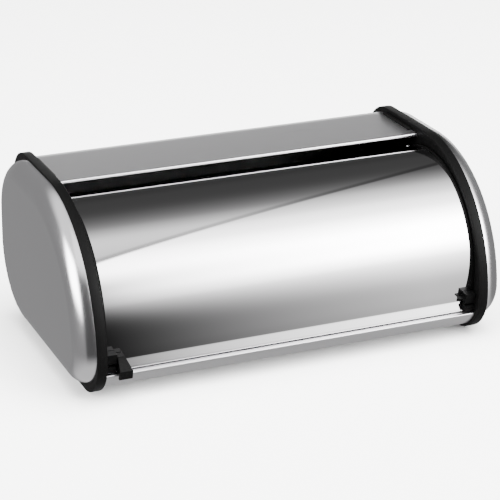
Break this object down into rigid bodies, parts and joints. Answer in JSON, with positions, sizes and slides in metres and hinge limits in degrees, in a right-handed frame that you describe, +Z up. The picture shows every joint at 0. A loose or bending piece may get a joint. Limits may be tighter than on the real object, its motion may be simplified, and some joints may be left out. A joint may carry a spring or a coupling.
{
  "type": "bread box",
  "caption": "Countertop bread box: a curved steel door rolls up and back in moulded black end frames under a folded steel wrap with pressed end caps.",
  "frame": {"origin": "middle of the box in plan, on the table under the foot pads", "axes": "+X to the right along the length as seen from the front, +Y to the back, +Z up"},
  "size_m": [0.426, 0.2499, 0.173],
  "materials": {
    "satin_steel": "satin stainless sheet",
    "polished_steel": "mirror-polished stainless sheet",
    "black_plastic": "moulded black, low sheen",
    "black_rubber": "matt",
    "zinc_screw": "zinc-plated"
  },
  "bodies": {
    "box": {"body_shell": "satin_steel", "end_cap_right": "satin_steel", "end_frame_right": "black_plastic", "door_bumper_right": "black_rubber", "foot_pad_front_right": "black_rubber", "foot_pad_rear_right": "black_rubber", "frame_screw_back_high_right": "zinc_screw", "frame_screw_back_low_right": "zinc_screw", "frame_screw_under_front_right": "zinc_screw", "frame_screw_under_rear_right": "zinc_screw", "end_cap_left": "satin_steel", "end_frame_left": "black_plastic", "door_bumper_left": "black_rubber", "foot_pad_front_left": "black_rubber", "foot_pad_rear_left": "black_rubber", "frame_screw_back_high_left": "zinc_screw", "frame_screw_back_low_left": "zinc_screw", "frame_screw_under_front_left": "zinc_screw", "frame_screw_under_rear_left": "zinc_screw"},
    "door": {"door_panel": "polished_steel", "door_edge_trim_right": "black_plastic", "door_corner_block_right": "black_plastic", "door_slider_right": "black_plastic", "corner_screw_right": "zinc_screw", "slider_screw_right": "zinc_screw", "door_edge_trim_left": "black_plastic", "door_corner_block_left": "black_plastic", "door_slider_left": "black_plastic", "corner_screw_left": "zinc_screw", "slider_screw_left": "zinc_screw", "grip_tab": "black_plastic", "grip_screw": "zinc_screw"}
  },
  "joints": [
    {"name": "door_roll", "type": "hinge", "parent": "box", "child": "door", "pos_m": [0, -0.0165, 0.0625], "axis": [-1, 0, 0], "range_deg": [0, 95]}
  ]
}
